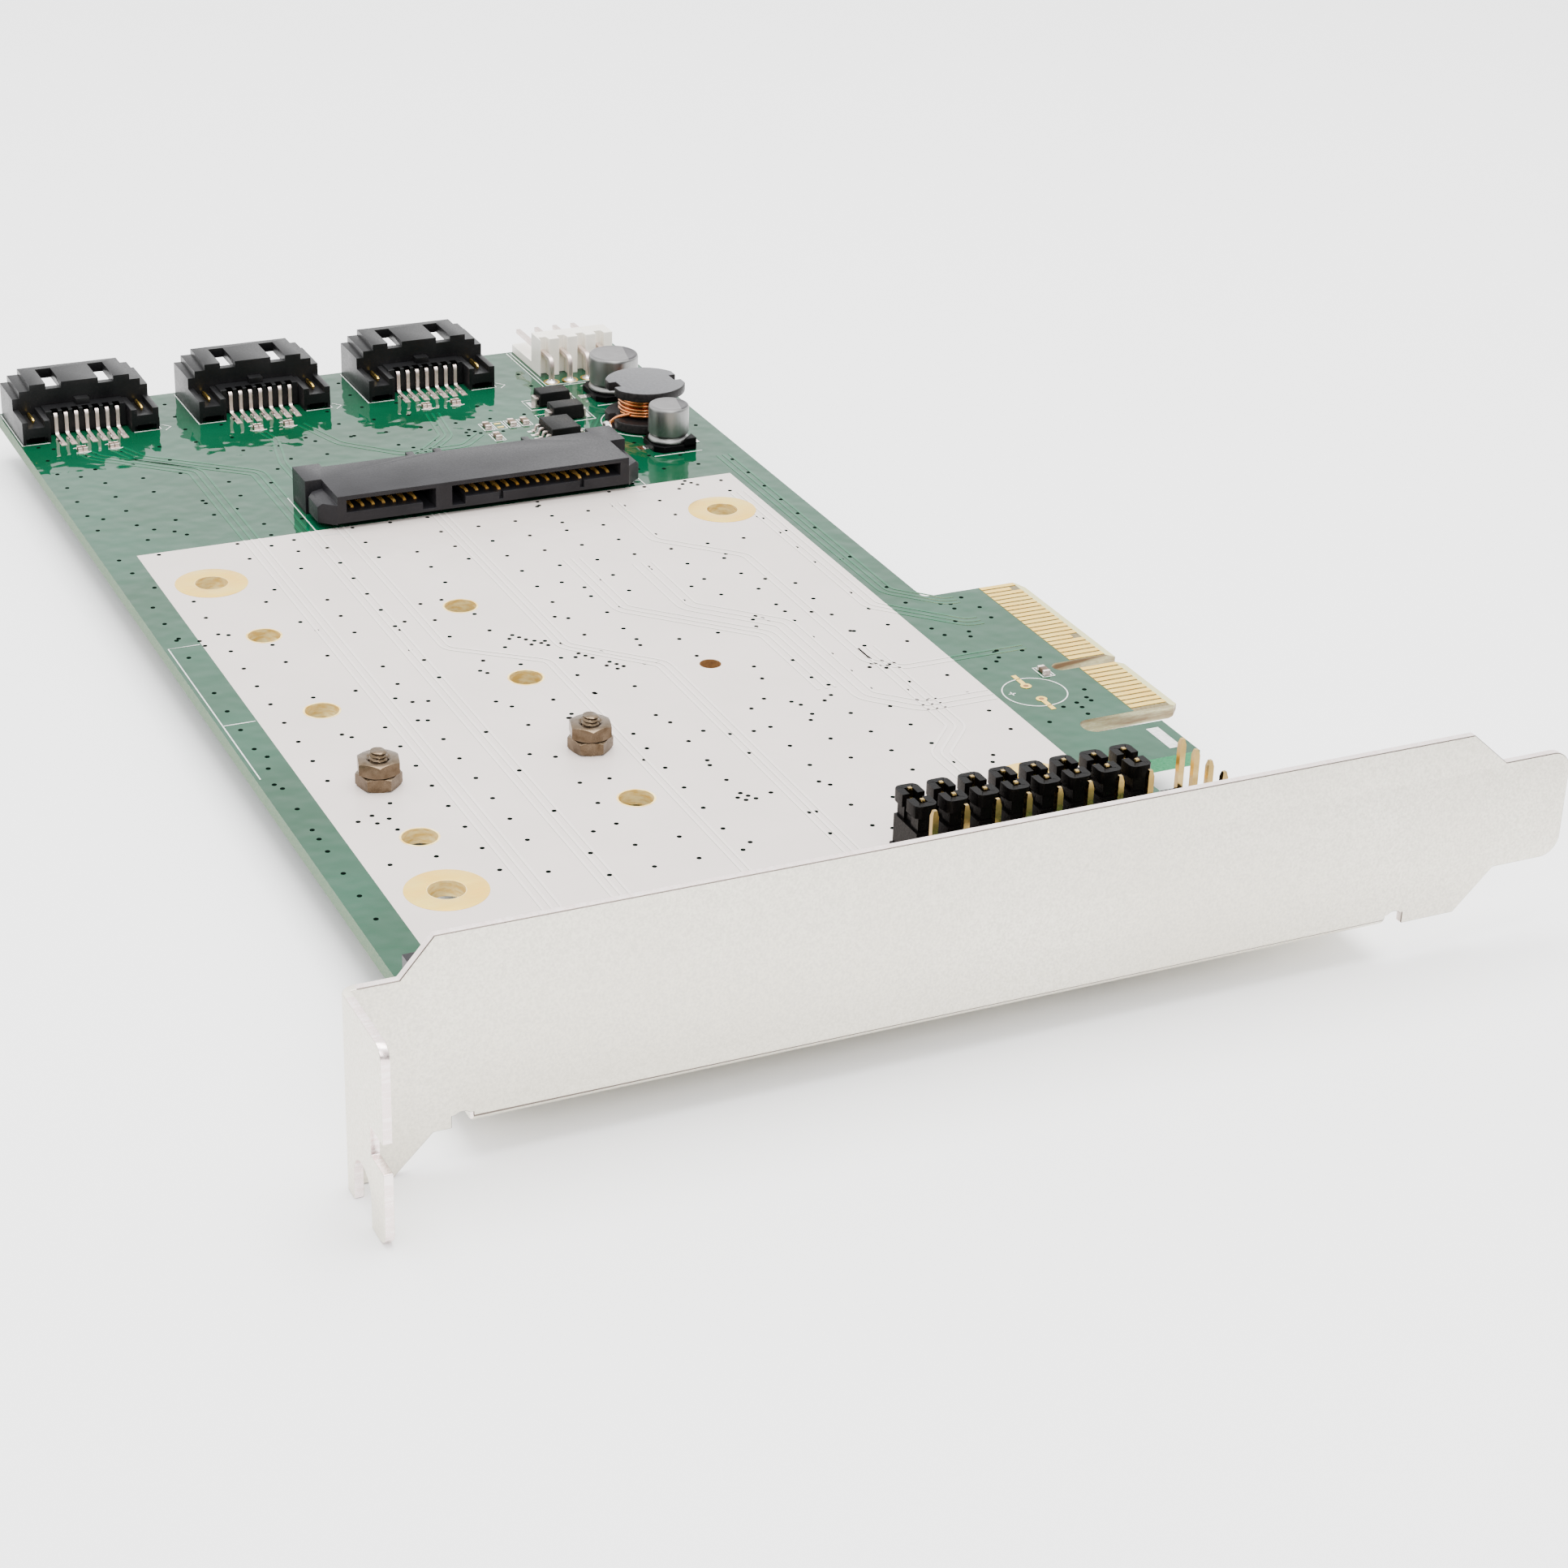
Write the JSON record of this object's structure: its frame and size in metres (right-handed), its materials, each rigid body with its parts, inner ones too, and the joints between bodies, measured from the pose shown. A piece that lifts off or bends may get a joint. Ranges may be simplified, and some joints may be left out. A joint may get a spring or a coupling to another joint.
{
  "type": "storage adapter expansion card",
  "caption": "Long green expansion card with a steel end bracket, a slot edge with gold fingers, storage sockets, jumpers, cable ports and a power header.",
  "frame": {"origin": "middle of the key notch, on the board edge that enters the slot, at the component face of the board", "axes": "+X along the card from the bracket to the cable ports, +Y from the slot edge to the bracket tab, +Z out of the component face"},
  "size_m": [0.1817, 0.12, 0.0219],
  "materials": {
    "board": "glossy green solder mask on glass-epoxy",
    "gold": "thin gold plate, satin",
    "plated_steel": "zinc plate, satin",
    "screw_steel": "zinc plate",
    "nickel": "nickel plate, worn bright",
    "port_plastic": "black moulded thermoplastic",
    "socket_plastic": "black moulded thermoplastic with a grey sheen",
    "header_plastic": "black moulded thermoplastic",
    "cap_plastic": "black moulded thermoplastic, satin",
    "contact_gold": "gold flash over nickel",
    "tin": "bright tin plate",
    "ivory_plastic": "natural nylon, a little translucent",
    "can_aluminium": "drawn aluminium, satin",
    "ferrite": "ground ferrite",
    "copper": "enamelled copper wire",
    "black_resin": "moulded epoxy resin",
    "ceramic": "fired ceramic"
  },
  "bodies": {
    "root": {"bracket": "plated_steel", "bracket_screws": "screw_steel", "card_socket_1": "socket_plastic", "card_socket_2": "socket_plastic", "chip_bodies": "ceramic", "chip_ends": "tin", "choke_core": "ferrite", "choke_terminals": "tin", "choke_winding": "copper", "circuit_board": "board", "diode_bodies": "black_resin", "diode_leads": "tin", "drive_hole_rings": "gold", "drive_socket_contacts": "contact_gold", "drive_socket_housing": "socket_plastic", "edge_contacts_bottom": "gold", "edge_contacts_top": "gold", "jumper_base_1": "header_plastic", "jumper_base_2": "header_plastic", "jumper_base_3": "header_plastic", "jumper_base_4": "header_plastic", "jumper_base_5": "header_plastic", "jumper_base_6": "header_plastic", "jumper_base_7": "header_plastic", "jumper_base_8": "header_plastic", "jumper_cap_1": "cap_plastic", "jumper_cap_2": "cap_plastic", "jumper_cap_3": "cap_plastic", "jumper_cap_4": "cap_plastic", "jumper_cap_5": "cap_plastic", "jumper_cap_6": "cap_plastic", "jumper_cap_7": "cap_plastic", "jumper_cap_8": "cap_plastic", "jumper_clips": "contact_gold", "jumper_pins": "contact_gold", "large_can": "can_aluminium", "large_can_base": "header_plastic", "large_can_leads": "tin", "lower_nuts": "nickel", "nut_screws": "screw_steel", "port_contacts_1": "tin", "port_contacts_2": "tin", "port_contacts_3": "tin", "port_housing_1": "port_plastic", "port_housing_2": "port_plastic", "port_housing_3": "port_plastic", "power_header_housing": "ivory_plastic", "power_header_pins": "tin", "regulator_body": "black_resin", "regulator_leads": "tin", "small_can": "can_aluminium", "small_can_base": "header_plastic", "small_can_leads": "tin", "spare_header_base": "header_plastic", "spare_header_pins": "contact_gold", "upper_nuts": "nickel"}
  },
  "joints": []
}
